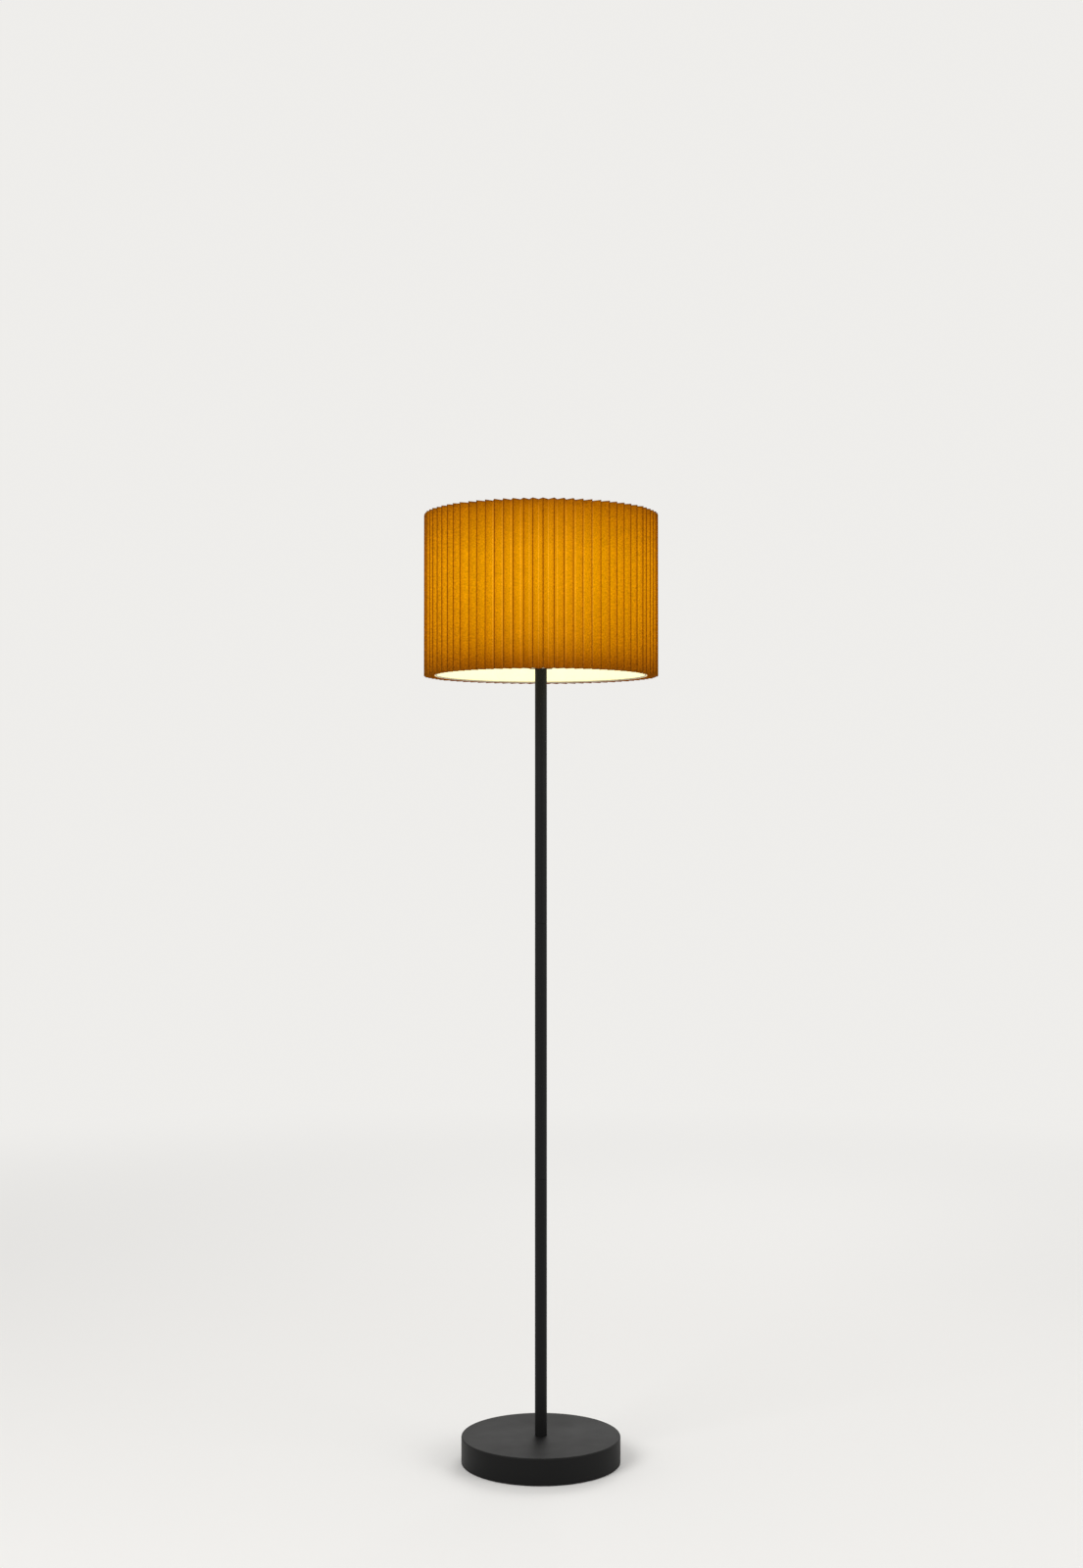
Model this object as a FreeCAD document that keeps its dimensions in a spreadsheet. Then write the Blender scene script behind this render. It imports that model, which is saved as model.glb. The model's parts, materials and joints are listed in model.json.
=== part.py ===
import FreeCAD, Part
import math
import os
import re
import Sketcher

# A standing lamp: a round weighted base, a pole of three tubes, a turn-knob lamp socket,
# a detachable harp, a bulb, and a drum shade whose paper sleeve has accordion pleats.
# The origin is at the middle of the base's underside, +Z is up, and the front faces -Y.
# Lengths are in millimetres. Heights inside a function start at that piece's own foot.

Vector = FreeCAD.Vector
X_AXIS = Vector(1, 0, 0)
Z_AXIS = Vector(0, 0, 1)

# ---------------------------------------------------------------- driving sizes

SIZES = [
    # clearances
    ("fit_gap", 0.05, "between a press fit's two walls"),
    ("slip_gap", 0.15, "round a turning shaft or a thread"),
    ("skin_gap", 0.3, "between nested pieces that stay put"),
    # weighted base
    ("base_radius", 135, "outside of the base cover"),
    ("base_height", 45, "floor to the top of the base cover"),
    ("cover_wall", 1.2, "steel sheet of the base cover"),
    ("cover_lift", 1, "cover's rim above the floor"),
    ("edge_round", 2, "rounding of the cover's top edge"),
    ("felt_thickness", 2, "felt pad under the base"),
    ("felt_inset", 1.5, "felt's edge in from the cover's wall"),
    ("board_thickness", 1.5, "board that closes the base"),
    ("weight_round", 3, "rounding of the cast weight's top edge"),
    ("recess_radius", 24, "nut recess in the weight"),
    ("recess_depth", 16, "nut recess in the weight"),
    ("channel_width", 14, "lead channel under the weight"),
    ("channel_depth", 15, "lead channel under the weight"),
    # lead inlet in the cover's rear wall
    ("inlet_height", 11, "inlet's axis above the floor"),
    ("inlet_bore", 3.5, "hole that the lead runs through"),
    ("inlet_barrel", 5, "barrel through the cover's wall"),
    ("inlet_flange", 7.5, "outer flange"),
    ("inlet_barb", 6, "snap barb behind the wall"),
    ("inlet_flange_length", 2, "outer flange along the axis"),
    ("inlet_barb_length", 2, "snap barb along the axis"),
    # threaded tubes, nuts and washers
    ("nipple_radius", 4.85, "outside of the threaded tubes"),
    ("nipple_bore", 3.3, "inside of the threaded tubes"),
    ("nipple_tail", 2, "threaded tube below the base nut"),
    ("nipple_reach", 16, "threaded tube up into the pole's foot"),
    ("washer_radius", 17, "washer under the weight's ceiling"),
    ("washer_thickness", 2, "washer under the weight's ceiling"),
    ("base_nut_width", 17, "across the base nut's flats"),
    ("base_nut_thickness", 5, "base nut"),
    ("top_nut_width", 15, "across the top nut's flats"),
    ("top_nut_thickness", 2.4, "nut on the saddle"),
    ("end_bevel", 0.4, "bevel on the ends of tubes"),
    # pole
    ("tube_radius", 10.2, "outside of the pole"),
    ("tube_wall", 1.2, "wall of the pole tubes"),
    ("section_length", 433.5, "each of the three pole tubes"),
    ("insert_length", 18, "threaded inserts in the pole's ends"),
    ("coupler_length", 44, "spigots inside the pole's joints"),
    ("coupler_bore", 4.5, "lead passage through the spigots"),
    ("bushing_flange", 1.5, "flange on top of the pole"),
    # saddle that carries the harp
    ("strip_width", 12.7, "saddle strip, front to back"),
    ("strip_thickness", 1.6, "saddle strip"),
    ("saddle_flat", 19, "half of the strip's flat middle"),
    ("saddle_bend", 2.5, "outside of the strip's bends"),
    ("saddle_rise", 16, "strip's shoulders above its underside"),
    ("ledge_reach", 2.4, "ledge that the harp's foot stands on"),
    ("ledge_thickness", 1.2, "ledge that the harp's foot stands on"),
    ("foot_drop", 3, "ledge below the shoulders"),
    ("tab_width", 4.4, "upright tab beside the harp's foot"),
    ("tab_height", 11, "upright tab above the shoulders"),
    # harp
    ("leg_spread", 28.5, "harp leg to the lamp's axis"),
    ("split_gap", 0.2, "between the tab and the harp's foot"),
    ("harp_wire", 1.8, "radius of the harp's wire"),
    ("harp_height", 246.5, "foot to the seat of the shade"),
    ("leg_straight", 40, "upright part of the legs"),
    ("bulge_spread", 57, "widest part of the harp to its axis"),
    ("bulge_low", 72, "where the bulge starts"),
    ("bulge_high", 128, "where the bulge ends"),
    ("crown_spread", 24, "half of the harp's crown"),
    ("leg_bend", 20, "bend radius at the legs and the bulge"),
    ("waist_bend", 60, "bend radius above the bulge"),
    ("crown_bend", 26, "bend radius at the crown"),
    ("sleeve_bore", 3.1, "inside of the locking sleeves"),
    ("sleeve_radius", 4.3, "outside of the locking sleeves"),
    ("sleeve_length", 11, "locking sleeves"),
    ("sleeve_round", 0.5, "edges of the locking sleeves"),
    ("stud_radius", 3.1, "stud that the finial screws on to"),
    ("stud_length", 13, "stud above the shade's seat"),
    ("seat_radius", 8.5, "seat of the shade"),
    ("seat_thickness", 2, "seat of the shade"),
    ("boss_radius", 5.5, "boss round the harp's crown"),
    ("boss_drop", 11, "boss below the shade's seat"),
    ("crown_drop", 7, "harp's crown below the shade's seat"),
    # socket
    ("neck_radius", 7, "neck of the socket cap"),
    ("neck_height", 6, "neck of the socket cap"),
    ("cap_radius", 16.7, "outside of the socket cap"),
    ("cap_wall", 0.8, "socket cap"),
    ("cap_shoulder", 11, "shoulder of the socket cap"),
    ("cap_round", 4, "rounding of the cap's shoulder"),
    ("socket_height", 58, "cap's foot to the socket's mouth"),
    ("shell_foot", 14, "shell's foot inside the cap"),
    ("shell_wall", 0.5, "outer shell"),
    ("shell_lip", 0.8, "rolled lip at the mouth"),
    ("lip_height", 1.6, "rolled lip at the mouth"),
    ("sleeve_wall", 0.8, "insulating sleeve inside the shell"),
    ("core_foot", 12.5, "insulating core's foot"),
    ("core_top", 36, "insulating core's top"),
    ("flat_depth", 3.4, "flats on the core for its terminals"),
    ("flat_width", 14, "flats on the core for its terminals"),
    ("flat_low", 17, "flats on the core for its terminals"),
    ("flat_height", 14, "flats on the core for its terminals"),
    ("terminal_height", 24, "terminal screws' axis"),
    ("terminal_back", 4, "terminal screws behind the axis"),
    ("terminal_shank", 1.5, "terminal screws' shank radius"),
    ("terminal_head", 2.8, "terminal screws' head radius"),
    ("terminal_head_height", 1.6, "terminal screws' heads"),
    ("terminal_length", 6, "terminal screws' shanks"),
    ("thread_root", 13.3, "inside of the screw shell"),
    ("thread_ridge", 0.25, "height of the screw shell's ridges"),
    ("thread_pitch", 3.6, "ridge to ridge"),
    ("screw_wall", 0.35, "screw shell's sheet"),
    ("screw_floor", 6.5, "hole in the screw shell's floor"),
    ("tongue_reach", 5.5, "half of the centre contact's foot"),
    ("tongue_width", 5, "centre contact's strip"),
    ("tongue_sheet", 0.5, "centre contact's strip"),
    ("tongue_height", 3.4, "centre contact"),
    # switch
    ("switch_height", 26, "switch shaft above the socket's foot"),
    ("shaft_radius", 1.6, "switch shaft"),
    ("shaft_reach", 29, "switch shaft's end out from the axis"),
    ("bush_radius", 3, "bush round the switch shaft"),
    ("bush_flange", 4.2, "bush's flange on the shell"),
    ("bush_flange_length", 1.2, "bush's flange along the shaft"),
    ("bush_nose", 2, "bush's nose beyond its flange"),
    ("knob_radius", 5.6, "switch knob"),
    ("knob_length", 12, "switch knob"),
    ("knob_stem", 3.4, "switch knob's stem radius"),
    ("knob_stem_length", 2.5, "switch knob's stem"),
    ("knob_skin", 2, "solid end of the knob"),
    ("knob_round", 1.2, "knob's outer edge"),
    ("flute_radius", 0.7, "grip flutes of the knob"),
    # bulb
    ("contact_radius", 4.5, "bulb's foot contact"),
    ("contact_height", 2.4, "bulb's foot contact"),
    ("insulator_radius", 11.6, "bulb's insulating cone"),
    ("insulator_height", 3, "bulb's insulating cone"),
    ("bulb_root", 12.4, "bulb's screw cap between its ridges"),
    ("bulb_ridge", 0.6, "ridges of the bulb's screw cap"),
    ("bulb_cap_wall", 0.7, "bulb's screw cap"),
    ("bulb_collar", 14.2, "housing just above the screw cap"),
    ("bulb_radius", 30, "widest part of the bulb"),
    ("housing_height", 38, "tapered housing"),
    ("collar_height", 4, "straight part of the housing"),
    ("rim_height", 4, "straight rim of the housing"),
    ("board_radius", 25, "light source board"),
    ("board_plate", 1.6, "light source board"),
    ("dome_height", 48, "diffuser dome"),
    ("dome_wall", 1.2, "diffuser dome"),
    # shade
    ("shade_height", 276, "top edge to bottom edge"),
    ("fold_radius", 200, "outer folds of the pleats"),
    ("pleat_depth", 17.5, "inner folds in from the outer folds"),
    ("pleats", 76, "number of pleats"),
    ("first_fold", 1.2, "first fold past the front, in degrees"),
    ("paper_thickness", 0.5, "pleated paper"),
    ("liner_thickness", 0.5, "stiff liner behind the pleats"),
    ("liner_inset", 1, "liner's edges short of the pleats'"),
    ("ring_wire", 1.25, "radius of the ring wires"),
    ("ring_inset", 2, "ring wires in from the shade's edges"),
    ("arm_wire", 1.4, "radius of the spider's arms"),
    ("hub_radius", 11, "spider's hub"),
    ("hub_hole", 4, "hole in the spider's hub"),
    ("hub_thickness", 3, "spider's hub"),
    # finial
    ("finial_foot", 7, "finial's foot"),
    ("finial_neck", 4.6, "finial's neck"),
    ("finial_radius", 9.5, "finial's knob"),
    ("finial_height", 26, "finial"),
    ("finial_slack", 0.3, "finial short of the hub, so that the shade can turn"),
    ("finial_room", 1.5, "room above the stud in the finial"),
    ("finial_round", 4, "finial knob's shoulder"),
]

# heights of the seats, from the floor up
WEIGHT_FOOT = "felt_thickness + board_thickness"
WEIGHT_HEIGHT = "(base_height - cover_wall - felt_thickness - board_thickness)"
NUT_CEILING = WEIGHT_FOOT + " + recess_depth"
POLE_TOP = "base_height + 3 * section_length"
SADDLE_FOOT = POLE_TOP + " + bushing_flange"
SOCKET_FOOT = SADDLE_FOOT + " + strip_thickness + top_nut_thickness"
HARP_FOOT = SADDLE_FOOT + " + saddle_rise - foot_drop"
SHADE_SEAT = HARP_FOOT + " + harp_height"
FINIAL_FOOT = SHADE_SEAT + " + hub_thickness + finial_slack"
SHADE_TOP = SHADE_SEAT + " + hub_thickness / 2 + ring_inset"
SHADE_FOOT = SHADE_TOP + " - shade_height"

# radii that nest inside one another
NIPPLE_HOLE = "nipple_radius + skin_gap"
NIPPLE_THREAD = "nipple_radius + fit_gap"
WEIGHT_RADIUS = "base_radius - cover_wall - skin_gap"
POLE_BORE = "tube_radius - tube_wall - fit_gap"
SHELL_RADIUS = "(cap_radius - cap_wall - slip_gap)"
SLEEVE_OUTSIDE = "(" + SHELL_RADIUS + " - shell_wall - slip_gap)"
CAP_RIM = "switch_height - bush_flange - skin_gap"
CORE_RADIUS = "(" + SLEEVE_OUTSIDE + " - sleeve_wall - skin_gap)"
VALLEY_RADIUS = "(fold_radius - pleat_depth)"
FOLD_SLOPE = "atan(" + VALLEY_RADIUS + " * sin(180 deg / pleats)" \
    " / (fold_radius - " + VALLEY_RADIUS + " * cos(180 deg / pleats)))"
FOLD_INSIDE = "(fold_radius - paper_thickness / sin(" + FOLD_SLOPE + "))"
VALLEY_INSIDE = "(" + VALLEY_RADIUS + " - paper_thickness" \
    " / sin(" + FOLD_SLOPE + " + 180 deg / pleats))"
LINER_RADIUS = "(" + VALLEY_INSIDE + " - skin_gap)"
RING_RADIUS = "(" + LINER_RADIUS + " - liner_thickness - fit_gap - ring_wire)"

document = FreeCAD.newDocument("floor_lamp")
sheet = document.addObject("Spreadsheet::Sheet", "Sizes")
names = [name for name, value, note in SIZES]
for row, (name, value, note) in enumerate(SIZES, start=1):
    sheet.set("A%d" % row, name)
    sheet.set("B%d" % row, str(value))
    sheet.set("C%d" % row, note)
    sheet.setAlias("B%d" % row, name)
document.recompute()

pieces = []

# ---------------------------------------------------------------- drawing helpers


def bound(text):
    """The text of an expression, with each size's name pointed at its cell."""
    return re.sub(r"[a-z_]+", lambda found: cell_of(found.group()), text)


def cell_of(word):
    return "Sizes." + word if word in names else word


def new_body(label):
    body = document.addObject("PartDesign::Body", label)
    pieces.append(body)
    return body


def origin_part(body, role):
    return [part for part in body.Origin.OriginFeatures if part.Role == role][0]


def sketch_on(body, role, name, lift="0"):
    """A sketch on one of the body's own planes, lifted along the plane's normal."""
    sketch = body.newObject("Sketcher::SketchObject", name)
    sketch.AttachmentSupport = [(origin_part(body, role), "")]
    sketch.MapMode = "FlatFace"
    if lift != "0":
        sketch.setExpression("AttachmentOffset.Base.z", bound(lift))
    return sketch


def hold(sketch, kind, first, second, value):
    """A dimension between two points of a sketch, tied to the sizes."""
    at = sketch.addConstraint(Sketcher.Constraint(kind, *first, *second, 1.0))
    sketch.setExpression("Constraints[%d]" % at, bound(value))


def hold_point(sketch, point, spot):
    """Ties a point to a place given as two expressions."""
    origin = (-1, 1)
    for kind, axis, value in (("DistanceX", -2, spot[0]), ("DistanceY", -1, spot[1])):
        if value == "0":
            sketch.addConstraint(Sketcher.Constraint("PointOnObject", *point, axis))
        else:
            hold(sketch, kind, origin, point, value)


def rounded_corner(before, corner, after, radius):
    """Where a corner's rounding starts and ends, and its arc."""
    back = (before - corner).normalize()
    ahead = (after - corner).normalize()
    half_turn = back.getAngle(ahead) / 2
    setback = radius / math.tan(half_turn)
    start = corner + back * setback
    end = corner + ahead * setback
    centre = corner + (back + ahead).normalize() * (radius / math.sin(half_turn))
    turns_left = back.cross(ahead).z < 0
    first, last = (start, end) if turns_left else (end, start)
    angles = [math.atan2(p.y - centre.y, p.x - centre.x) for p in (first, last)]
    arc = Part.ArcOfCircle(Part.Circle(centre, Z_AXIS, radius), *angles)
    return start, end, arc, 1 if turns_left else 2


def draw(sketch, corners, closed=True):
    """Draws straight lines from corner to corner. A corner is (x, y) or, where it is
    rounded, (x, y, radius). Every corner and radius stays tied to the sizes."""
    marks = []
    for number, corner in enumerate(corners):
        mark = sketch.addGeometry(Part.Point(Vector(number + 1, 1, 0)), True)
        hold_point(sketch, (mark, 1), corner)
        marks.append(mark)
    sketch.recompute()
    spots = [sketch.Geometry[mark] for mark in marks]
    spots = [Vector(spot.X, spot.Y, 0) for spot in spots]
    count = len(corners)
    starts = list(spots)
    ends = spots[1:] + spots[:1]
    arcs = {}
    for i, corner in enumerate(corners):
        if len(corner) == 3:
            radius = sheet.get(corner[2])
            fitted = rounded_corner(spots[i - 1], spots[i], spots[(i + 1) % count], radius)
            ends[i - 1], starts[i], arcs[i] = fitted[0], fitted[1], fitted[2:]
    line_count = count if closed else count - 1
    lines = [
        sketch.addGeometry(Part.LineSegment(starts[i], ends[i])) for i in range(line_count)
    ]
    for i, corner in enumerate(corners):
        mark = (marks[i], 1)
        come = lines[i - 1] if closed or i > 0 else None
        go = lines[i] if i < line_count else None
        if i not in arcs:
            if come is not None:
                sketch.addConstraint(Sketcher.Constraint("Coincident", come, 2, *mark))
            if go is not None:
                sketch.addConstraint(Sketcher.Constraint("Coincident", go, 1, *mark))
            continue
        shape, head = arcs[i]
        arc = sketch.addGeometry(shape)
        sketch.addConstraint(Sketcher.Constraint("Tangent", come, 2, arc, head))
        sketch.addConstraint(Sketcher.Constraint("Tangent", go, 1, arc, 3 - head))
        sketch.addConstraint(Sketcher.Constraint("PointOnObject", *mark, come))
        sketch.addConstraint(Sketcher.Constraint("PointOnObject", *mark, go))
        at = sketch.addConstraint(Sketcher.Constraint("Radius", arc, shape.Radius))
        sketch.setExpression("Constraints[%d]" % at, bound(corner[2]))


def draw_circle(sketch, centre, radius):
    circle = sketch.addGeometry(Part.Circle(Vector(1, 1, 0), Z_AXIS, 1))
    at = sketch.addConstraint(Sketcher.Constraint("Radius", circle, 1.0))
    sketch.setExpression("Constraints[%d]" % at, bound(radius))
    hold_point(sketch, (circle, 3), centre)


def mirrored(corners):
    """The same corners on the other side of the upright axis, in the other order."""
    return [("0 - (" + corner[0] + ")", *corner[1:]) for corner in reversed(corners)]


def hexagon(width):
    """Six corners of a hexagon that measures width across its flats."""
    corner = "(" + width + ") / sqrt(3)"
    angles = range(15, 375, 60)
    return [
        ("%s * cos(%d deg)" % (corner, angle), "%s * sin(%d deg)" % (corner, angle))
        for angle in angles
    ]


def turned(label, corners):
    """A piece turned about its own upright axis from half of its section."""
    body = new_body(label)
    section = sketch_on(body, "XZ_Plane", label + "_section")
    draw(section, corners)
    turn = body.newObject("PartDesign::Revolution", label + "_turn")
    turn.Profile = section
    turn.ReferenceAxis = (section, ["V_Axis"])
    turn.Angle = 360
    return body


def turned_tube(label, outside, inside, length):
    """A tube with small bevels on both of its outer edges."""
    return turned(label, [
        (inside, "0"),
        (outside + " - end_bevel", "0"),
        (outside, "end_bevel"),
        (outside, length + " - end_bevel"),
        (outside + " - end_bevel", length),
        (inside, length),
    ])


def pad(body, sketch, length, middle=False, reverse=False):
    feature = body.newObject("PartDesign::Pad", sketch.Name + "_pad")
    return stretch(feature, sketch, length, middle, reverse)


def pocket(body, sketch, length, middle=False, reverse=False):
    """Cuts the sketch out of the body, and stops the build if it cut nothing."""
    document.recompute()
    before = body.Shape.Volume
    feature = body.newObject("PartDesign::Pocket", sketch.Name + "_cut")
    stretch(feature, sketch, length, middle, reverse)
    document.recompute()
    if body.Shape.Volume >= before:
        raise RuntimeError(feature.Name + " points away from the solid")
    return feature


def stretch(feature, sketch, length, middle, reverse):
    feature.Profile = sketch
    feature.setExpression("Length", bound(length))
    feature.SideType = "Symmetric" if middle else "One side"
    feature.Reversed = reverse
    return feature


def repeat_round(body, features, count):
    """Repeats features round the body's upright axis."""
    pattern = body.newObject("PartDesign::PolarPattern", body.Name + "_round")
    pattern.Originals = features
    pattern.Axis = (origin_part(body, "Z_Axis"), [""])
    pattern.Angle = 360
    if count in names:
        pattern.setExpression("Occurrences", bound(count))
    else:
        pattern.Occurrences = int(count)
    body.Tip = pattern


def bore(body, hole_radius, length):
    """A round hole along the body's upright axis, from its foot up."""
    sketch = sketch_on(body, "XY_Plane", body.Name + "_hole")
    draw_circle(sketch, ("0", "0"), hole_radius)
    pocket(body, sketch, length, reverse=True)


def place(piece, x="0", y="0", z="0", tilt=0):
    """Puts a piece where it belongs. Tilt turns it about X, in degrees."""
    piece.Placement = FreeCAD.Placement(Vector(), FreeCAD.Rotation(X_AXIS, tilt))
    for axis, value in zip("xyz", (x, y, z)):
        if value != "0":
            piece.setExpression("Placement.Base." + axis, bound(value))


# ---------------------------------------------------------------- weighted base


def make_base():
    felt_radius = "base_radius - cover_wall - felt_inset"
    turned("base_felt_pad", [
        ("0", "0"),
        (felt_radius + " - end_bevel", "0"),
        (felt_radius, "end_bevel"),
        (felt_radius, "felt_thickness"),
        ("0", "felt_thickness"),
    ])

    board = turned("base_bottom_board", [
        ("0", "0"),
        (WEIGHT_RADIUS, "0"),
        (WEIGHT_RADIUS, "board_thickness"),
        ("0", "board_thickness"),
    ])
    place(board, z="felt_thickness")

    weight = turned("base_weight", [
        (NIPPLE_HOLE, "recess_depth"),
        ("recess_radius", "recess_depth"),
        ("recess_radius", "0"),
        (WEIGHT_RADIUS, "0"),
        (WEIGHT_RADIUS, WEIGHT_HEIGHT, "weight_round"),
        (NIPPLE_HOLE, WEIGHT_HEIGHT),
    ])
    place(weight, z=WEIGHT_FOOT)
    channel = sketch_on(weight, "XY_Plane", "lead_channel")
    half = "channel_width / 2"
    draw(channel, [
        (half, "0"),
        (half, "base_radius"),
        ("0 - " + half, "base_radius"),
        ("0 - " + half, "0"),
    ])
    pocket(weight, channel, "channel_depth", reverse=True)

    cover = turned("base_cover", [
        (NIPPLE_HOLE, "base_height"),
        ("base_radius", "base_height", "edge_round"),
        ("base_radius", "cover_lift"),
        ("base_radius - cover_wall", "cover_lift"),
        ("base_radius - cover_wall", "base_height - cover_wall"),
        (NIPPLE_HOLE, "base_height - cover_wall"),
    ])
    opening = sketch_on(cover, "XZ_Plane", "inlet_opening")
    draw_circle(opening, ("0", "inlet_height"), "inlet_barrel + skin_gap")
    pocket(cover, opening, "base_radius + cover_wall")


def make_cord_inlet():
    wall = "0 - cover_wall - skin_gap"
    back = wall + " - inlet_barb_length"
    bushing = turned("cord_inlet_bushing", [
        ("inlet_bore", "inlet_flange_length"),
        ("inlet_flange", "inlet_flange_length", "end_bevel"),
        ("inlet_flange", "0"),
        ("inlet_barrel", "0"),
        ("inlet_barrel", wall),
        ("inlet_barb", wall),
        ("inlet_barrel - end_bevel", back),
        ("inlet_bore", back),
    ])
    place(bushing, y="base_radius", z="inlet_height", tilt=-90)


def make_base_fastening():
    washer_foot = NUT_CEILING + " - washer_thickness"
    nut_foot = washer_foot + " - base_nut_thickness"
    nipple_foot = nut_foot + " - nipple_tail"
    washer = turned_tube("base_washer", "washer_radius", NIPPLE_HOLE, "washer_thickness")
    place(washer, z=washer_foot)
    make_nut("base_nut", "base_nut_width", "base_nut_thickness", nut_foot)
    length = "base_height + nipple_reach - (" + nipple_foot + ")"
    nipple = turned_tube("base_nipple", "nipple_radius", "nipple_bore", length)
    place(nipple, z=nipple_foot)


def make_nut(label, width, thickness, foot):
    nut = new_body(label)
    outline = sketch_on(nut, "XY_Plane", label + "_outline")
    draw(outline, hexagon(width))
    pad(nut, outline, thickness)
    bore(nut, NIPPLE_THREAD, thickness)
    place(nut, z=foot)


# ---------------------------------------------------------------- pole


def make_pole():
    foot_insert = turned_tube("pole_foot_insert", POLE_BORE, NIPPLE_THREAD, "insert_length")
    place(foot_insert, z="base_height")
    for number, name in enumerate(("pole_lower", "pole_middle", "pole_upper")):
        tube = turned_tube(name, "tube_radius", "tube_radius - tube_wall", "section_length")
        place(tube, z="base_height + %d * section_length" % number)
    for number, name in enumerate(("pole_spigot_lower", "pole_spigot_upper"), start=1):
        spigot = turned_tube(name, POLE_BORE, "coupler_bore", "coupler_length")
        place(spigot, z="base_height + %d * section_length - coupler_length / 2" % number)
    bushing = turned("pole_top_bushing", [
        (NIPPLE_THREAD, "0 - insert_length"),
        (POLE_BORE, "0 - insert_length"),
        (POLE_BORE, "0"),
        ("tube_radius", "0"),
        ("tube_radius", "bushing_flange", "end_bevel"),
        (NIPPLE_THREAD, "bushing_flange"),
    ])
    place(bushing, z=POLE_TOP)
    foot = POLE_TOP + " - insert_length"
    length = SOCKET_FOOT + " + neck_height - (" + foot + ")"
    nipple = turned_tube("top_nipple", "nipple_radius", "nipple_bore", length)
    place(nipple, z=foot)


# ---------------------------------------------------------------- saddle and harp


def make_saddle():
    tab_outside = "(leg_spread - split_gap / 2)"
    tab_inside = "(" + tab_outside + " - strip_thickness)"
    slope_top = "(" + tab_outside + " - saddle_flat)"
    mitre = "strip_thickness * tan(22.5 deg)"
    ledge = "(saddle_rise - foot_drop)"
    right = [
        ("saddle_flat", "0", "saddle_bend"),
        (tab_outside, slope_top),
        (tab_outside, ledge + " - ledge_thickness"),
        (tab_outside + " + ledge_reach", ledge + " - ledge_thickness"),
        (tab_outside + " + ledge_reach", ledge),
        (tab_outside, ledge),
        (tab_outside, "saddle_rise"),
        (tab_inside, "saddle_rise"),
        (tab_inside, slope_top + " + " + mitre),
        ("saddle_flat - " + mitre, "strip_thickness"),
    ]
    saddle = new_body("harp_saddle")
    strip = sketch_on(saddle, "XZ_Plane", "saddle_strip")
    draw(strip, right + mirrored(right))
    pad(saddle, strip, "strip_width", middle=True)
    tab_top = "saddle_rise + tab_height"
    tab = [
        (tab_inside, "saddle_rise - ledge_thickness"),
        (tab_outside, "saddle_rise - ledge_thickness"),
        (tab_outside, tab_top),
        (tab_inside, tab_top),
    ]
    for side, corners in (("right", tab), ("left", mirrored(tab))):
        sketch = sketch_on(saddle, "XZ_Plane", side + "_tab")
        draw(sketch, corners)
        pad(saddle, sketch, "tab_width", middle=True)
    bore(saddle, NIPPLE_HOLE, "strip_thickness")
    place(saddle, z=SADDLE_FOOT)
    nut_foot = SADDLE_FOOT + " + strip_thickness"
    make_nut("saddle_nut", "top_nut_width", "top_nut_thickness", nut_foot)


def make_harp():
    harp = new_body("harp")
    crown = "(harp_height - crown_drop)"
    right = [
        ("crown_spread", crown, "crown_bend"),
        ("bulge_spread", "bulge_high", "waist_bend"),
        ("bulge_spread", "bulge_low", "leg_bend"),
        ("leg_spread", "leg_straight", "leg_bend"),
        ("leg_spread", "0"),
    ]
    route = sketch_on(harp, "XZ_Plane", "harp_route")
    draw(route, mirrored(right) + right, closed=False)
    ring = sketch_on(harp, "XY_Plane", "harp_wire_section")
    draw_circle(ring, ("0 - leg_spread", "0"), "harp_wire")
    wire = harp.newObject("PartDesign::AdditivePipe", "harp_bow")
    wire.Profile = ring
    wire.Spine = route
    split = "(leg_spread + split_gap / 2)"
    inside = "(leg_spread - 2 * harp_wire)"
    top = "foot_drop + tab_height + skin_gap"
    foot = [(inside, "0 - foot_drop"), (split, "0 - foot_drop"), (split, top), (inside, top)]
    for side, corners in (("right", foot), ("left", mirrored(foot))):
        sketch = sketch_on(harp, "XZ_Plane", side + "_foot")
        draw(sketch, corners)
        pocket(harp, sketch, "4 * harp_wire", middle=True)
    place(harp, z=HARP_FOOT)

    stud = turned("harp_top_stud", [
        ("0", "stud_length"),
        ("stud_radius - end_bevel", "stud_length"),
        ("stud_radius", "stud_length - end_bevel"),
        ("stud_radius", "0"),
        ("seat_radius", "0"),
        ("seat_radius", "0 - seat_thickness", "end_bevel"),
        ("boss_radius", "0 - seat_thickness"),
        ("boss_radius", "0 - boss_drop", "end_bevel"),
        ("0", "0 - boss_drop"),
    ])
    cross_hole = sketch_on(stud, "YZ_Plane", "crown_hole")
    draw_circle(cross_hole, ("0", "0 - crown_drop"), "harp_wire + fit_gap")
    pocket(stud, cross_hole, "3 * boss_radius", middle=True)
    place(stud, z=SHADE_SEAT)

    for label, x in (("harp_sleeve_left", "0 - leg_spread"), ("harp_sleeve_right", "leg_spread")):
        sleeve = turned(label, [
            ("sleeve_bore", "0"),
            ("sleeve_radius", "0", "sleeve_round"),
            ("sleeve_radius", "sleeve_length", "sleeve_round"),
            ("sleeve_bore", "sleeve_length"),
        ])
        place(sleeve, x=x, z=HARP_FOOT + " + foot_drop")


# ---------------------------------------------------------------- socket and switch


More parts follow.
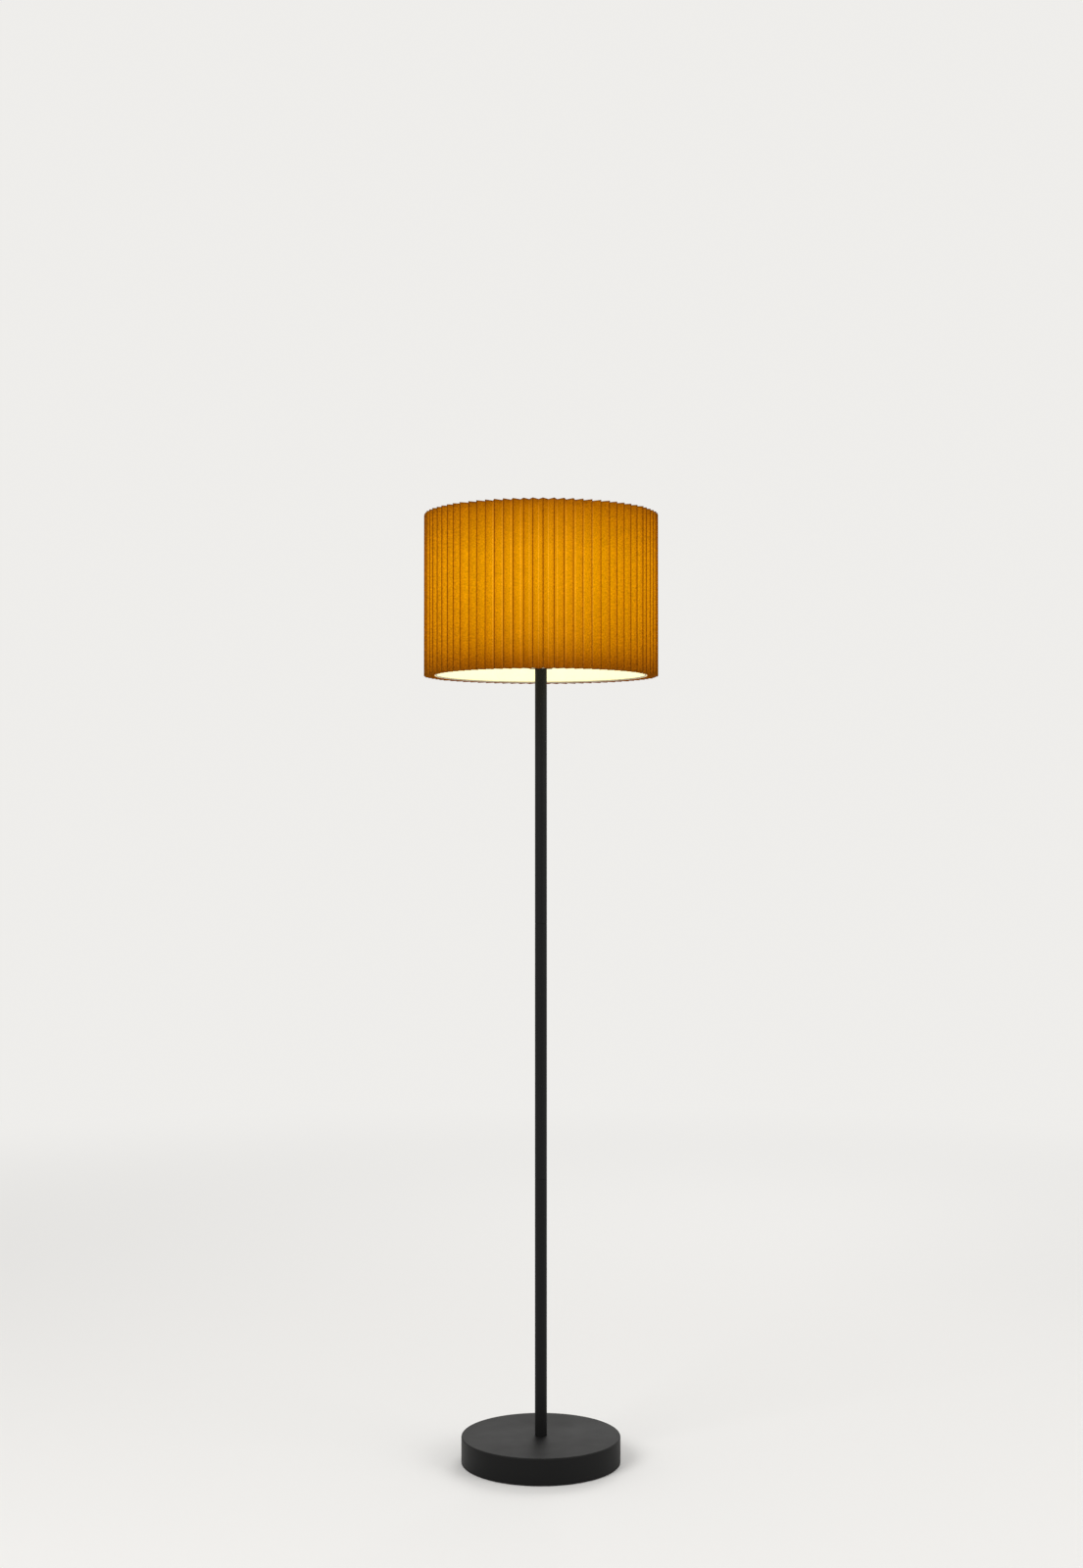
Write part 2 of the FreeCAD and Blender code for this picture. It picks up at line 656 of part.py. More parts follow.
def make_socket_housing():
    inner_shoulder = "cap_shoulder + cap_wall"
    cap = turned("socket_cap", [
        (NIPPLE_THREAD, "0"),
        ("neck_radius", "0"),
        ("neck_radius", "neck_height"),
        ("cap_radius", "cap_shoulder", "cap_round"),
        ("cap_radius", CAP_RIM),
        ("cap_radius - cap_wall", CAP_RIM),
        ("cap_radius - cap_wall", inner_shoulder, "cap_round"),
        ("neck_radius", "neck_height + cap_wall"),
        (NIPPLE_THREAD, "neck_height + cap_wall"),
    ])
    place(cap, z=SOCKET_FOOT)

    lip_foot = "socket_height - lip_height"
    shell = turned("socket_shell", [
        (SHELL_RADIUS + " - shell_wall", "shell_foot"),
        (SHELL_RADIUS, "shell_foot"),
        (SHELL_RADIUS, lip_foot),
        (SHELL_RADIUS + " + shell_lip", lip_foot + " + end_bevel"),
        (SHELL_RADIUS + " + shell_lip", "socket_height"),
        (SHELL_RADIUS + " - shell_wall", "socket_height"),
    ])
    place(shell, z=SOCKET_FOOT)
    sleeve = turned("socket_insulating_sleeve", [
        (SLEEVE_OUTSIDE + " - sleeve_wall", "shell_foot + end_bevel"),
        (SLEEVE_OUTSIDE, "shell_foot + end_bevel"),
        (SLEEVE_OUTSIDE, lip_foot),
        (SLEEVE_OUTSIDE + " - sleeve_wall", lip_foot),
    ])
    place(sleeve, z=SOCKET_FOOT)
    for wall, name in ((shell, "shell"), (sleeve, "sleeve")):
        opening = sketch_on(wall, "XZ_Plane", name + "_switch_hole")
        draw_circle(opening, ("0", "switch_height"), "bush_radius + skin_gap")
        pocket(wall, opening, "cap_radius", reverse=True)


def make_socket_core():
    core = turned("socket_core", [
        ("0", "core_foot"),
        (CORE_RADIUS + " - end_bevel", "core_foot"),
        (CORE_RADIUS, "core_foot + end_bevel"),
        (CORE_RADIUS, "core_top"),
        ("0", "core_top"),
    ])
    shaft_bore = sketch_on(core, "XZ_Plane", "shaft_bore")
    draw_circle(shaft_bore, ("0", "switch_height"), "shaft_radius + slip_gap")
    pocket(core, shaft_bore, "cap_radius", reverse=True)
    flat_face = "(" + CORE_RADIUS + " - flat_depth)"
    flat = sketch_on(core, "XY_Plane", "terminal_flat", lift="flat_low")
    draw(flat, [
        (flat_face, "0 - flat_width / 2"),
        ("cap_radius", "0 - flat_width / 2"),
        ("cap_radius", "flat_width / 2"),
        (flat_face, "flat_width / 2"),
    ])
    flat_cut = pocket(core, flat, "flat_height", reverse=True)
    hole_foot = flat_face + " - terminal_length - skin_gap"
    hole = sketch_on(core, "YZ_Plane", "terminal_hole", lift=hole_foot)
    draw_circle(hole, ("terminal_back", "terminal_height"), "terminal_shank + fit_gap")
    hole_cut = pocket(core, hole, "cap_radius", reverse=True)
    mirror = core.newObject("PartDesign::Mirrored", "other_terminal")
    mirror.Originals = [flat_cut, hole_cut]
    mirror.MirrorPlane = (origin_part(core, "YZ_Plane"), [""])
    core.Tip = mirror
    place(core, z=SOCKET_FOOT)

    screws = new_body("socket_terminal_screws")
    screws.AllowCompound = True
    shank = sketch_on(screws, "YZ_Plane", "shank", lift=flat_face + " - terminal_length")
    draw_circle(shank, ("terminal_back", "terminal_height"), "terminal_shank")
    shank_pad = pad(screws, shank, "terminal_length")
    head = sketch_on(screws, "YZ_Plane", "head", lift=flat_face)
    draw_circle(head, ("terminal_back", "terminal_height"), "terminal_head")
    head_pad = pad(screws, head, "terminal_head_height")
    pair = screws.newObject("PartDesign::Mirrored", "other_screw")
    pair.Originals = [shank_pad, head_pad]
    pair.MirrorPlane = (origin_part(screws, "YZ_Plane"), [""])
    screws.Tip = pair
    place(screws, z=SOCKET_FOOT)


def ridges(root, ridge, foot, pitch, count):
    """A ridged wall, from its foot up: ridge tops stand between the roots."""
    steps = range(2 * count + 1)
    return [
        ("%s + %s" % (root, ridge) if step % 2 else root, "%s + %d * %s / 2" % (foot, step, pitch))
        for step in steps
    ]


def make_socket_contacts():
    count = 5
    foot = "core_top + screw_wall"
    inner = ridges("thread_root", "thread_ridge", foot, "thread_pitch", count)
    outer = ridges("thread_root + screw_wall", "thread_ridge", foot, "thread_pitch", count)
    screw_shell = turned("socket_screw_shell", [
        ("screw_floor", "core_top"),
        ("thread_root + screw_wall", "core_top"),
        *outer,
        *reversed(inner),
        ("screw_floor", foot),
    ])
    place(screw_shell, z=SOCKET_FOOT)

    tongue = new_body("socket_centre_contact")
    strip = sketch_on(tongue, "XZ_Plane", "tongue_strip")
    knee = "(tongue_reach - 3 * tongue_sheet)"
    crown = "(tongue_reach - tongue_height)"
    right = [
        (crown, "tongue_height"),
        (knee, "tongue_sheet"),
        ("tongue_reach", "tongue_sheet"),
        ("tongue_reach", "0"),
        (knee + " - tongue_sheet / 2", "0"),
        (crown + " - tongue_sheet / 2", "tongue_height - tongue_sheet"),
    ]
    draw(strip, right + mirrored(right))
    pad(tongue, strip, "tongue_width", middle=True)
    place(tongue, z=SOCKET_FOOT + " + core_top")


def make_switch():
    """Shaft, bush and knob lie along -Y; their heights run out from the lamp's axis."""
    height = SOCKET_FOOT + " + switch_height"
    flange = "(" + SHELL_RADIUS + " + slip_gap)"
    nose = flange + " + bush_flange_length + bush_nose"
    bush = turned("switch_bush", [
        ("shaft_radius + slip_gap", CORE_RADIUS + " + slip_gap"),
        ("bush_radius", CORE_RADIUS + " + slip_gap"),
        ("bush_radius", flange),
        ("bush_flange", flange),
        ("bush_flange", flange + " + bush_flange_length", "end_bevel"),
        ("bush_radius", flange + " + bush_flange_length"),
        ("bush_radius", nose),
        ("shaft_radius + slip_gap", nose),
    ])
    place(bush, z=height, tilt=90)
    shaft = turned("switch_shaft", [
        ("0", "skin_gap"),
        ("shaft_radius", "skin_gap"),
        ("shaft_radius", "shaft_reach"),
        ("0", "shaft_reach"),
    ])
    place(shaft, z=height, tilt=90)
    foot = nose + " + skin_gap"
    hole_end = "shaft_reach + skin_gap"
    end = foot + " + knob_length"
    knob = turned("switch_knob", [
        ("shaft_radius + fit_gap", foot),
        ("knob_stem", foot),
        ("knob_stem", foot + " + knob_stem_length"),
        ("knob_radius", foot + " + knob_stem_length + end_bevel"),
        ("knob_radius", end, "knob_round"),
        ("0", end),
        ("0", hole_end),
        ("shaft_radius + fit_gap", hole_end),
    ])
    flute = sketch_on(knob, "XY_Plane", "flute", lift=foot + " + knob_stem_length")
    draw_circle(flute, ("knob_radius + flute_radius / 3", "0"), "flute_radius")
    cut = pocket(knob, flute, "knob_length - knob_stem_length - knob_skin", reverse=True)
    repeat_round(knob, [cut], "16")
    place(knob, z=height, tilt=90)


# ---------------------------------------------------------------- bulb


def make_bulb():
    foot = SOCKET_FOOT + " + core_top + tongue_height + skin_gap"
    cap_foot = "contact_height + insulator_height"
    count = 5
    cap_top = cap_foot + " + %d * thread_pitch" % (count + 1)
    neck = "(bulb_root - bulb_cap_wall - fit_gap)"
    housing_foot = "(" + cap_top + ")"
    rim = "(" + housing_foot + " + housing_height)"
    top = "(" + rim + " + dome_height)"
    contact = turned("bulb_contact", [
        ("0", "0"),
        ("contact_radius - contact_height / 2", "0"),
        ("contact_radius", "contact_height / 2"),
        ("contact_radius", "contact_height"),
        ("0", "contact_height"),
    ])
    insulator = turned("bulb_insulator", [
        ("0", "contact_height"),
        ("contact_radius + insulator_height", "contact_height"),
        ("insulator_radius", cap_foot),
        ("0", cap_foot),
    ])
    ridge_foot = cap_foot + " + thread_pitch / 2"
    screw_cap = turned("bulb_screw_cap", [
        ("0", cap_foot),
        ("insulator_radius", cap_foot),
        *ridges("bulb_root", "bulb_ridge", ridge_foot, "thread_pitch", count),
        ("bulb_root", cap_top),
        (neck + " + fit_gap", cap_top),
        (neck + " + fit_gap", cap_foot + " + bulb_cap_wall"),
        ("0", cap_foot + " + bulb_cap_wall"),
    ])
    neck_foot = cap_foot + " + bulb_cap_wall + fit_gap"
    board_foot = rim + " - rim_height + skin_gap"
    cup = "(bulb_radius - 2 * dome_wall - skin_gap)"
    housing = turned("bulb_housing", [
        ("0", neck_foot),
        (neck, neck_foot),
        (neck, housing_foot),
        ("bulb_collar", housing_foot),
        ("bulb_collar", housing_foot + " + collar_height"),
        ("bulb_radius - dome_wall", rim + " - rim_height"),
        ("bulb_radius - dome_wall", rim),
        (cup, rim),
        (cup, board_foot),
        ("0", board_foot),
    ])
    board = turned("bulb_light_board", [
        ("0", board_foot),
        ("board_radius", board_foot),
        ("board_radius", board_foot + " + board_plate"),
        ("0", board_foot + " + board_plate"),
    ])
    inner_round = "(bulb_radius - dome_wall)"
    dome = turned("bulb_diffuser", [
        (inner_round, rim),
        ("bulb_radius", rim),
        ("bulb_radius", rim + " + dome_height - bulb_radius"),
        *dome_curve("bulb_radius", top),
        ("0", top),
        ("0", top + " - dome_wall"),
        *reversed(dome_curve(inner_round, top + " - dome_wall")),
        (inner_round, rim + " + dome_height - bulb_radius"),
    ])
    for piece in (contact, insulator, screw_cap, housing, board, dome):
        place(piece, z=foot)


def dome_curve(radius, top):
    """Points on a quarter circle that ends at the dome's top."""
    steps = 9
    angles = [90 * step / steps for step in range(1, steps)]
    return [
        ("%s * cos(%g deg)" % (radius, angle), "%s - %s * (1 - sin(%g deg))" % (top, radius, angle))
        for angle in angles
    ]


# ---------------------------------------------------------------- shade and finial


def make_pleats():
    """One pleat is a paper chevron from valley to valley, and it is repeated round."""
    body = new_body("shade_pleats")
    half = "180 deg / pleats"
    outside, inside = [
        (radius + " * cos(" + half + ")", radius + " * sin(" + half + ")")
        for radius in (VALLEY_RADIUS, VALLEY_INSIDE)
    ]
    pleat = sketch_on(body, "XY_Plane", "pleat")
    draw(pleat, [
        ("fold_radius", "0"),
        outside,
        inside,
        (FOLD_INSIDE, "0"),
        (inside[0], "0 - " + inside[1]),
        (outside[0], "0 - " + outside[1]),
    ])
    chevron = pad(body, pleat, "shade_height")
    repeat_round(body, [chevron], "pleats")
    body.setExpression("Placement.Base.z", bound(SHADE_FOOT))
    body.setExpression("Placement.Rotation.Angle", bound("(270 + first_fold) * 1 deg"))


def make_shade_frame():
    liner = turned("shade_liner", [
        (LINER_RADIUS + " - liner_thickness", "liner_inset"),
        (LINER_RADIUS, "liner_inset"),
        (LINER_RADIUS, "shade_height - liner_inset"),
        (LINER_RADIUS + " - liner_thickness", "shade_height - liner_inset"),
    ])
    place(liner, z=SHADE_FOOT)

    ring = document.addObject("Part::Torus", "shade_bottom_ring")
    ring.setExpression("Radius1", bound(RING_RADIUS))
    ring.setExpression("Radius2", bound("ring_wire"))
    place(ring, z=SHADE_FOOT + " + ring_inset")
    pieces.append(ring)

    spider = turned("shade_spider", [
        ("hub_hole", "0"),
        ("hub_radius", "0"),
        ("hub_radius", "hub_thickness"),
        ("hub_hole", "hub_thickness"),
    ])
    arm_height = "hub_thickness / 2"
    arm_start = "(hub_radius - arm_wire)"
    route = sketch_on(spider, "YZ_Plane", "arm_route")
    draw(route, [
        (arm_start, arm_height),
        (RING_RADIUS, arm_height),
    ], closed=False)
    section = sketch_on(spider, "XZ_Plane", "arm_section", lift="0 - " + arm_start)
    draw_circle(section, ("0", arm_height), "arm_wire")
    arm = spider.newObject("PartDesign::AdditivePipe", "spider_arm")
    arm.Profile = section
    arm.Spine = route
    repeat_round(spider, [arm], "3")
    ring_section = sketch_on(spider, "XZ_Plane", "top_ring_section")
    draw_circle(ring_section, (RING_RADIUS, arm_height), "ring_wire")
    top_ring = spider.newObject("PartDesign::Revolution", "top_ring")
    top_ring.Profile = ring_section
    top_ring.ReferenceAxis = (ring_section, ["V_Axis"])
    top_ring.Angle = 360
    spider.Tip = top_ring
    place(spider, z=SHADE_SEAT)


def make_finial():
    hole_top = "stud_length - hub_thickness - finial_slack + finial_room"
    finial = turned("finial", [
        ("stud_radius + slip_gap", "0"),
        ("finial_foot", "0"),
        ("finial_foot", "finial_height / 10", "end_bevel"),
        ("finial_neck", "finial_height / 6"),
        ("finial_neck", "finial_height / 3"),
        ("finial_radius", "finial_height / 2", "finial_round"),
        ("finial_radius", "finial_height * 4 / 5", "finial_round"),
        ("finial_neck", "finial_height"),
        ("0", "finial_height"),
        ("0", hole_top),
        ("stud_radius + slip_gap", hole_top),
    ])
    place(finial, z=FINIAL_FOOT)


# ---------------------------------------------------------------- build and write


def check_and_write():
    """Stops on any failed object, then writes one file for each piece."""
    document.recompute()
    for item in document.Objects:
        if "Invalid" in item.State or "Error" in item.State:
            raise RuntimeError("failed: " + item.Label)
    os.makedirs("parts", exist_ok=True)
    for piece in pieces:
        shape = piece.Shape
        if shape.isNull() or not shape.isValid() or shape.Volume <= 0:
            raise RuntimeError("bad shape: " + piece.Label)
        shape.exportStep("parts/" + piece.Label + ".step")
        print("%-26s %9.0f mm3  %d solids" % (piece.Label, shape.Volume, len(shape.Solids)))


make_base()
make_cord_inlet()
make_base_fastening()
make_pole()
make_saddle()
make_harp()
make_socket_housing()
make_socket_core()
make_socket_contacts()
make_switch()
make_bulb()
make_pleats()
make_shade_frame()
make_finial()
check_and_write()
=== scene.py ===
# %% [markdown]
# # A floor lamp with a pleated paper shade
# This lesson dresses a standing lamp. Its construction comes as a fixed frame, piece by piece at its
# real size, in metres. Here each visible surface gets its finish, and the two pieces that need a
# finer form than the construction has, the pleated paper and its liner, are modelled again, in the
# same place and at the same size.
#
# The lamp is lit: its paper glows from inside. That light doesn't come from a lamp in the scene. It
# is written into the paper's own material as a soft emission, so the lamp looks the same from any
# side and under any other light.

import bpy
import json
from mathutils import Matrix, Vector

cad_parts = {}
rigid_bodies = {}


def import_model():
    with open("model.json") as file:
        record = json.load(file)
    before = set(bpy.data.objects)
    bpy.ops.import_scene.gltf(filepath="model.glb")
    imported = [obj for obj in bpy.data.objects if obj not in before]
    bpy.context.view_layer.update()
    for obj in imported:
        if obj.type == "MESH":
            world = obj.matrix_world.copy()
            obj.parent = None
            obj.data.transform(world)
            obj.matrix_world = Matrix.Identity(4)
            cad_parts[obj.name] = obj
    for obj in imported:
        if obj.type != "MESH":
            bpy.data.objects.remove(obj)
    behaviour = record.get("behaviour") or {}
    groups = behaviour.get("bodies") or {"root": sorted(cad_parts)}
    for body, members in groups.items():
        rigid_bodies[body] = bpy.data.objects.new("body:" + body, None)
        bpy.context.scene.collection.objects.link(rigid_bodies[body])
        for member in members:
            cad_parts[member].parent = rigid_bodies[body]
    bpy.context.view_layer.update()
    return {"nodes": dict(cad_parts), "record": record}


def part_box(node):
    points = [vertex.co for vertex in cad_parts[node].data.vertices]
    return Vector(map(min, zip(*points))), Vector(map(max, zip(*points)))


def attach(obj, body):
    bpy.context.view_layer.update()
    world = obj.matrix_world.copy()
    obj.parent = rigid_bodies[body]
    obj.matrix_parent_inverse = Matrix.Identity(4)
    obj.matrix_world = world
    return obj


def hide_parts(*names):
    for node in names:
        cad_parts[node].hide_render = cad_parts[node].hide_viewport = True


for leftover in list(bpy.data.objects):
    bpy.data.objects.remove(leftover)
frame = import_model()

import json
import math
import random

import bmesh
from mathutils import Vector

nodes = frame["nodes"]

# %% [markdown]
# ## The camera
# The photograph was taken from about 3.6 m away, a little above the lamp's middle, and the camera
# looked up by one degree. The focal length was worked out from how the shade's and the base's rims
# open into ellipses. The picture is upright, so the long side of the sensor is its height.

# %% Camera
CAMERA_PLACE = Vector((0.001, -3.5915, 1.0837))
CAMERA_LENS = 48.30
CAMERA_SENSOR = 36
CAMERA_RISE = math.radians(1.06)

bpy.ops.object.camera_add(location=CAMERA_PLACE, rotation=(math.pi / 2 + CAMERA_RISE, 0, 0))
camera = bpy.context.object
camera.name = "camera"
camera.data.lens = CAMERA_LENS
camera.data.sensor_width = CAMERA_SENSOR
camera.data.sensor_fit = "AUTO"
bpy.context.scene.camera = camera
print("camera lens %.1f mm" % camera.data.lens)

# %% [markdown]
# ## Helpers for shader nodes
# A material is a tree of nodes. Each helper here adds one node, feeds its inputs, and gives back the
# output that the next node needs, so a finish reads as a short list of steps.

# %% Shader helpers
NOISE_SPAN = (0.3, 0.7)
WIDE_SPAN = (0.2, 0.8)


def add_node(tree, kind, **settings):
    """A new node of that kind, with its settings."""
    node = tree.nodes.new(kind)
    for name, value in settings.items():
        setattr(node, name, value)
    return node


def feed(tree, target, name, source):
    """Sets an input from a number or a colour, or links it to another node's output."""
    socket = target.inputs[name]
    if isinstance(source, bpy.types.NodeSocket):
        tree.links.new(source, socket)
    else:
        socket.default_value = source


def calculate(tree, operation, *values):
    """One Math node, and its result."""
    node = add_node(tree, "ShaderNodeMath", operation=operation)
    for place, value in enumerate(values):
        feed(tree, node, place, value)
    return node.outputs[0]


def remap(tree, value, low, high, out_low=0.0, out_high=1.0, smooth=False):
    """Stretches low..high to out_low..out_high, and holds what lies outside."""
    node = add_node(tree, "ShaderNodeMapRange", clamp=True)
    if smooth:
        node.interpolation_type = "SMOOTHSTEP"
    feed(tree, node, "From Min", low)
    feed(tree, node, "From Max", high)
    feed(tree, node, "To Min", out_low)
    feed(tree, node, "To Max", out_high)
    feed(tree, node, "Value", value)
    return node.outputs["Result"]


def patchy(tree, value, out_low, out_high, span=NOISE_SPAN):
    """Turns a noise, most of which lies in that span, into one from out_low to out_high."""
    return remap(tree, value, *span, out_low, out_high)


def mix_colours(tree, share, first, second, blend="MIX"):
    """A mix of two colours."""
    node = add_node(tree, "ShaderNodeMix", data_type="RGBA", blend_type=blend)
    feed(tree, node, 0, share)
    feed(tree, node, 6, first)
    feed(tree, node, 7, second)
    return node.outputs[2]


def mix_shaders(tree, share, first, second):
    """A mix of two shaders."""
    node = add_node(tree, "ShaderNodeMixShader")
    feed(tree, node, 0, share)
    feed(tree, node, 1, first)
    feed(tree, node, 2, second)
    return node.outputs[0]


def noise(tree, place, scale, detail=2.0, roughness=0.5):
    """A noise texture's value, centred on one half, with so many waves to the metre."""
    node = add_node(tree, "ShaderNodeTexNoise")
    feed(tree, node, "Vector", place)
    feed(tree, node, "Scale", scale)
    feed(tree, node, "Detail", detail)
    feed(tree, node, "Roughness", roughness)
    return node.outputs["Fac"]


def scaled(tree, colour, factor):
    """A colour times one number."""
    node = add_node(tree, "ShaderNodeVectorMath", operation="SCALE")
    feed(tree, node, 0, colour)
    feed(tree, node, "Scale", factor)
    return node.outputs[0]


def stretched(tree, place, factors):
    """A place squeezed along some axes, so that a pattern on it is drawn out along them."""
    node = add_node(tree, "ShaderNodeVectorMath", operation="MULTIPLY")
    feed(tree, node, 0, place)
    feed(tree, node, 1, factors)
    return node.outputs[0]


# %% [markdown]
# ## The floor, the background and the light
# A plain pale floor takes the lamp's shadow. Further out it fades into the background's own colour,
# so no horizon cuts the picture, and its underside lets the camera see through, so that the lamp's
# felt pad can be looked at from below. The light is plain and soft: an even world, a broad lamp from
# the upper left, and two weaker ones, from the right and from behind.

# %% Floor
BACKGROUND = (0.86, 0.85, 0.83, 1)
FLOOR_RADIUS = 14.0
FLOOR_SIDES = 96
FLOOR_LEVEL = -0.0002
FLOOR_FADE = (1.2, 4.5)


def floor_material():
    """Matt from above, clear from below, and the background's own colour further out."""
    material = bpy.data.materials.new("pale_floor")
    material.use_nodes = True
    tree = material.node_tree
    tree.nodes.clear()
    length = add_node(tree, "ShaderNodeVectorMath", operation="LENGTH")
    feed(tree, length, 0, add_node(tree, "ShaderNodeTexCoord").outputs["Object"])
    far = remap(tree, length.outputs["Value"], *FLOOR_FADE, smooth=True)
    seen = add_node(tree, "ShaderNodeLightPath").outputs["Is Camera Ray"]
    plain = add_node(tree, "ShaderNodeBsdfDiffuse")
    feed(tree, plain, "Color", BACKGROUND)
    glow = add_node(tree, "ShaderNodeEmission")
    feed(tree, glow, "Color", BACKGROUND)
    clear = add_node(tree, "ShaderNodeBsdfTransparent")
    fade = calculate(tree, "MULTIPLY", far, seen)
    above = mix_shaders(tree, fade, plain.outputs[0], glow.outputs[0])
    below = add_node(tree, "ShaderNodeNewGeometry").outputs["Backfacing"]
    output = add_node(tree, "ShaderNodeOutputMaterial")
    feed(tree, output, "Surface", mix_shaders(tree, below, above, clear.outputs[0]))
    return material


bpy.ops.mesh.primitive_circle_add(vertices=FLOOR_SIDES, radius=FLOOR_RADIUS, fill_type="NGON",
                                  location=(0, 0, FLOOR_LEVEL))
floor = bpy.context.object
floor.name = "floor"
floor.data.materials.append(floor_material())

# %% World
WORLD_LIGHT = 0.55
WHITE = (1, 1, 1, 1)

world = bpy.data.worlds.new("studio")
bpy.context.scene.world = world
world.use_nodes = True
sky = world.node_tree
sky.nodes.clear()
path = add_node(sky, "ShaderNodeLightPath")
shown = calculate(sky, "MAXIMUM", path.outputs["Is Camera Ray"], path.outputs["Is Glossy Ray"])
shown = calculate(sky, "MAXIMUM", shown, path.outputs["Is Transmission Ray"])
backdrop = add_node(sky, "ShaderNodeBackground")
feed(sky, backdrop, "Color", BACKGROUND)
light = add_node(sky, "ShaderNodeBackground")
feed(sky, light, "Color", WHITE)
feed(sky, light, "Strength", WORLD_LIGHT)
sky_output = add_node(sky, "ShaderNodeOutputWorld")
feed(sky, sky_output, "Surface", mix_shaders(sky, shown, light.outputs[0], backdrop.outputs[0]))
bpy.context.scene.view_settings.view_transform = "Standard"

# %% Lamps
LAMP_WIDTH = 2.4
LAMP_AIM = Vector((0, 0, 0.9))
SOFT_LAMPS = [
    ("key_lamp", (-2.6, -3.0, 3.2), 95),
    ("fill_lamp", (3.2, -1.8, 1.8), 38),
    ("back_lamp", (0.8, 3.2, 3.0), 45),
]

for name, place, power in SOFT_LAMPS:
    bpy.ops.object.light_add(type="AREA", location=place)
    lamp = bpy.context.object
    lamp.name = name
    lamp.data.shape = "DISK"
    lamp.data.size = LAMP_WIDTH
    lamp.data.energy = power
    lamp.rotation_euler = (LAMP_AIM - Vector(place)).to_track_quat("-Z", "Y").to_euler()
print(len(SOFT_LAMPS), "soft lamps")

# %% [markdown]
# ## Effects that several finishes share
# Three effects come back on many pieces: the fine orange-peel of baked powder coating, the haze and
# specks of dust on what faces up, and the long fine lines of drawn or turned metal. Each is a node
# group with its own inputs, so that every finish can set its scale or strength. A group gives only
# masks and heights, and the shader itself stays in the material.

# %% Shared effects
FACING_UP = (0.35, 0.95)


def effect_group(name, inputs, outputs):
    """An empty shader group, with its sockets, and its input and output nodes."""
    group = bpy.data.node_groups.new(name, "ShaderNodeTree")
    for label, kind, value in inputs:
        socket = group.interface.new_socket(name=label, in_out="INPUT", socket_type=kind)
        if value is not None:
            socket.default_value = value
    for label, kind in outputs:
        group.interface.new_socket(name=label, in_out="OUTPUT", socket_type=kind)
    return group, add_node(group, "NodeGroupInput").outputs, add_node(group, "NodeGroupOutput")


def coating_effect():
    """Orange peel: a height for bump, and a faint roughness change."""
    group, given, result = effect_group(
        "powder_coat",
        [("Place", "NodeSocketVector", None), ("Grain", "NodeSocketFloat", 900.0)],
        [("Height", "NodeSocketFloat"), ("Patches", "NodeSocketFloat")],
    )
    fine = noise(group, given["Place"], given["Grain"], detail=1.0)
    coarse_grain = calculate(group, "MULTIPLY", given["Grain"], 0.25)
    broad = noise(group, given["Place"], coarse_grain, detail=1.0)
    height = calculate(group, "ADD", fine, calculate(group, "MULTIPLY", broad, 0.8))
    feed(group, result, "Height", height)
    feed(group, result, "Patches", noise(group, given["Place"], 11.0, detail=3.0))
    return group


def dust_effect():
    """Dust on what faces up: a soft film and small specks."""
    group, given, result = effect_group(
        "settled_dust",
        [("Place", "NodeSocketVector", None), ("Normal", "NodeSocketVector", None),
         ("Amount", "NodeSocketFloat", 0.3)],
        [("Dust", "NodeSocketFloat")],
    )
    split = add_node(group, "ShaderNodeSeparateXYZ")
    feed(group, split, 0, given["Normal"])
    facing_up = remap(group, split.outputs["Z"], *FACING_UP, smooth=True)
    film = remap(group, noise(group, given["Place"], 14.0, detail=4.0, roughness=0.6), 0.35, 0.75)
    specks = remap(group, noise(group, given["Place"], 420.0, detail=1.0), 0.68, 0.76)
    both = calculate(group, "ADD", calculate(group, "MULTIPLY", film, 0.5), specks)
    lying = calculate(group, "MULTIPLY", both, facing_up)
    feed(group, result, "Dust", calculate(group, "MULTIPLY", lying, given["Amount"]))
    return group


def drawn_metal_effect():
    """Fine lines round the upright axis, as turning and drawing leave them."""
    group, given, result = effect_group(
        "drawn_metal",
        [("Place", "NodeSocketVector", None), ("Lines", "NodeSocketFloat", 2500.0)],
        [("Height", "NodeSocketFloat"), ("Patches", "NodeSocketFloat")],
    )
    drawn_out = stretched(group, given["Place"], (0.02, 0.02, 1.0))
    feed(group, result, "Height", noise(group, drawn_out, given["Lines"], detail=2.0))
    feed(group, result, "Patches", noise(group, given["Place"], 60.0, detail=3.0))
    return group


POWDER_COAT = coating_effect()
DUST = dust_effect()
DRAWN_METAL = drawn_metal_effect()

# %% [markdown]
# ## Finishes
# Each finish is a function that builds one material and tells what it is on the real lamp. Most
# are a Principled shader whose roughness and bump come from the shared effects. The numbers that
# are the same all over a surface are set on the shader itself.

# %% A base for every finish
def new_finish(name, colour, roughness, metallic=0.0):
    """A material with a Principled shader, and the place on the piece that its patterns follow."""
    material = bpy.data.materials.new(name)
    material.use_nodes = True
    tree = material.node_tree
    shader = tree.nodes["Principled BSDF"]
    feed(tree, shader, "Base Color", (*colour, 1))
    feed(tree, shader, "Roughness", roughness)
    feed(tree, shader, "Metallic", metallic)
    material.diffuse_color = (*colour, 1)
    place = add_node(tree, "ShaderNodeTexCoord").outputs["Object"]
    return material, tree, shader, place


def use_effect(tree, group, **inputs):
    """One of the shared effects, and its outputs."""
    node = add_node(tree, "ShaderNodeGroup", node_tree=group)
    for name, value in inputs.items():
        feed(tree, node, name, value)
    return node.outputs


def bump(tree, shader, height, depth, strength):
    """Bends the shader's normal by a height pattern of that depth, in metres."""
    node = add_node(tree, "ShaderNodeBump")
    feed(tree, node, "Strength", strength)
    feed(tree, node, "Distance", depth)
    feed(tree, node, "Height", height)
    feed(tree, shader, "Normal", node.outputs["Normal"])


